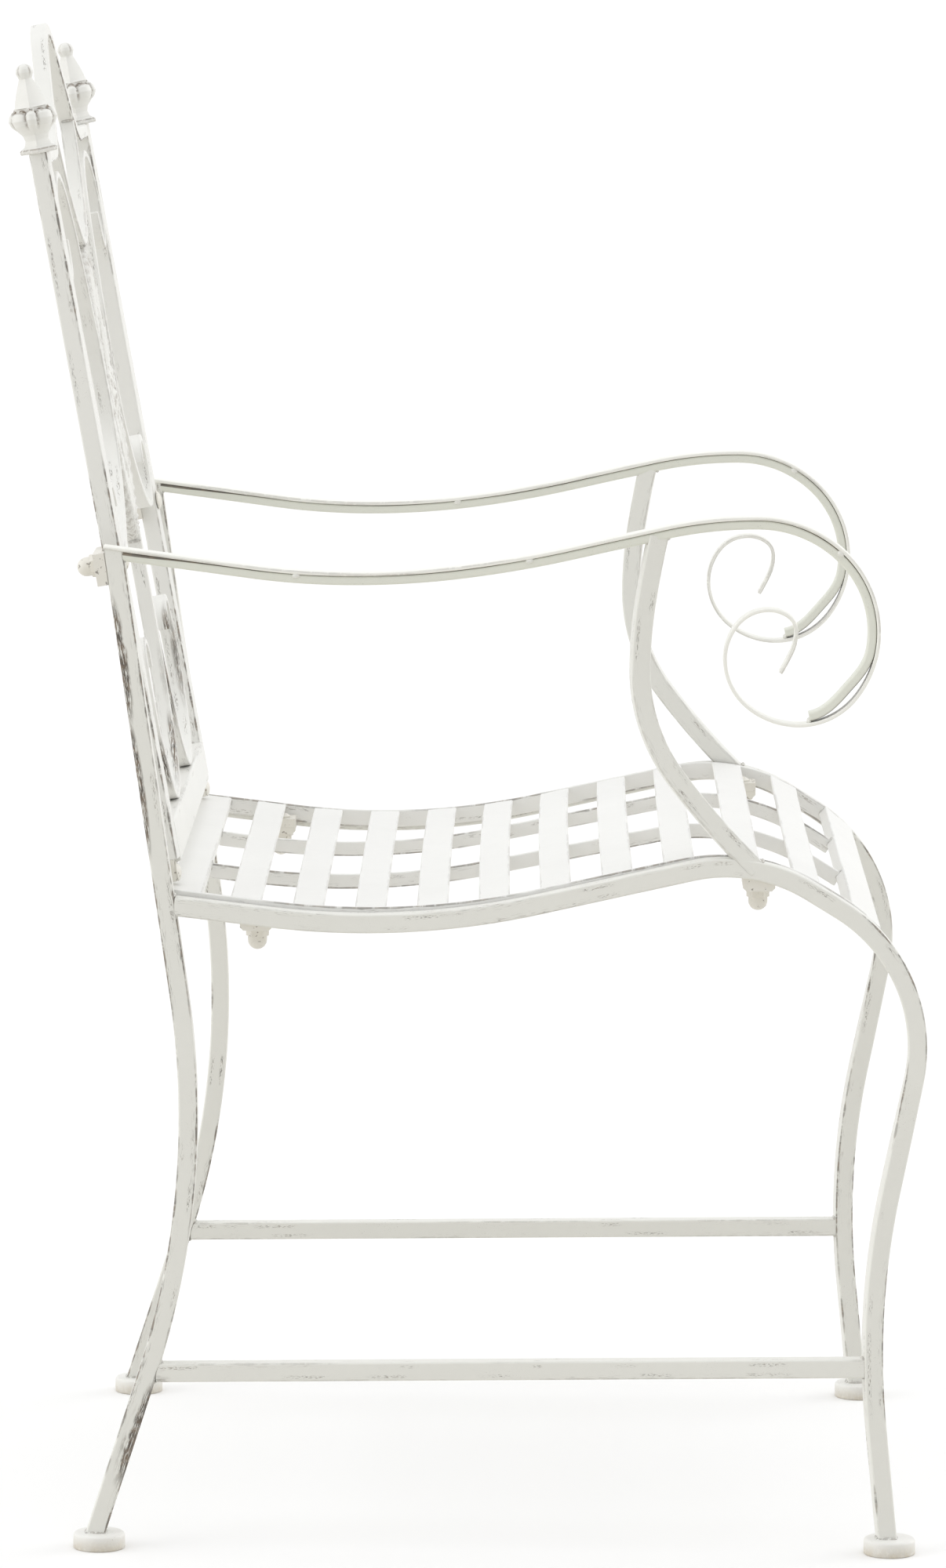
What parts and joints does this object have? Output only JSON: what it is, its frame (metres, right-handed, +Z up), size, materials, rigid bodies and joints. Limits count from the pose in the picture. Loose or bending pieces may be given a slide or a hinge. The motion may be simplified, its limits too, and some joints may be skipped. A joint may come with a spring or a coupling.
{
  "type": "garden armchair",
  "caption": "Garden armchair of bent, welded bar in worn pale paint: scrolled arms, S-curved slatted seat, and a leaning back of scrolls round an oval medallion.",
  "frame": {"origin": "on the floor, at the centre of the chair's bounding box seen from above", "axes": "+X to the sitter's left, +Y from front to rear, +Z up"},
  "size_m": [0.534, 0.6009, 0.9922],
  "materials": {
    "frame_paint": "worn satin",
    "seat_paint": "worn satin",
    "back_paint": "worn satin",
    "fitting_paint": "satin",
    "foot_paint": "worn satin"
  },
  "bodies": {
    "root": {"back_bolts": "fitting_paint", "back_bottom_rail": "back_paint", "back_lugs": "fitting_paint", "back_medallion": "back_paint", "back_nuts": "fitting_paint", "corner_bolts": "fitting_paint", "crest_rail": "back_paint", "left_arm_bar": "frame_paint", "left_arm_strip": "frame_paint", "left_arm_support": "frame_paint", "left_back_neck": "back_paint", "left_back_post": "back_paint", "left_back_scroll": "back_paint", "left_back_tab": "fitting_paint", "left_corner_tab": "fitting_paint", "left_finial": "back_paint", "left_front_foot": "foot_paint", "left_front_leg": "frame_paint", "left_lower_loop": "back_paint", "left_rear_foot": "foot_paint", "left_rear_leg": "frame_paint", "left_seat_long_bar": "seat_paint", "left_seat_side_bar": "seat_paint", "left_seat_tabs": "fitting_paint", "left_stretcher": "frame_paint", "right_arm_bar": "frame_paint", "right_arm_strip": "frame_paint", "right_arm_support": "frame_paint", "right_back_neck": "back_paint", "right_back_post": "back_paint", "right_back_scroll": "back_paint", "right_back_tab": "fitting_paint", "right_corner_tab": "fitting_paint", "right_finial": "back_paint", "right_front_foot": "foot_paint", "right_front_leg": "frame_paint", "right_lower_loop": "back_paint", "right_rear_foot": "foot_paint", "right_rear_leg": "frame_paint", "right_seat_long_bar": "seat_paint", "right_seat_side_bar": "seat_paint", "right_seat_tabs": "fitting_paint", "right_stretcher": "frame_paint", "seat_bolts": "fitting_paint", "seat_front_bar": "seat_paint", "seat_lugs": "fitting_paint", "seat_nuts": "fitting_paint", "seat_rear_bar": "seat_paint", "seat_slat_1": "seat_paint", "seat_slat_10": "seat_paint", "seat_slat_2": "seat_paint", "seat_slat_3": "seat_paint", "seat_slat_4": "seat_paint", "seat_slat_5": "seat_paint", "seat_slat_6": "seat_paint", "seat_slat_7": "seat_paint", "seat_slat_8": "seat_paint", "seat_slat_9": "seat_paint", "seat_washers": "fitting_paint"}
  },
  "joints": []
}
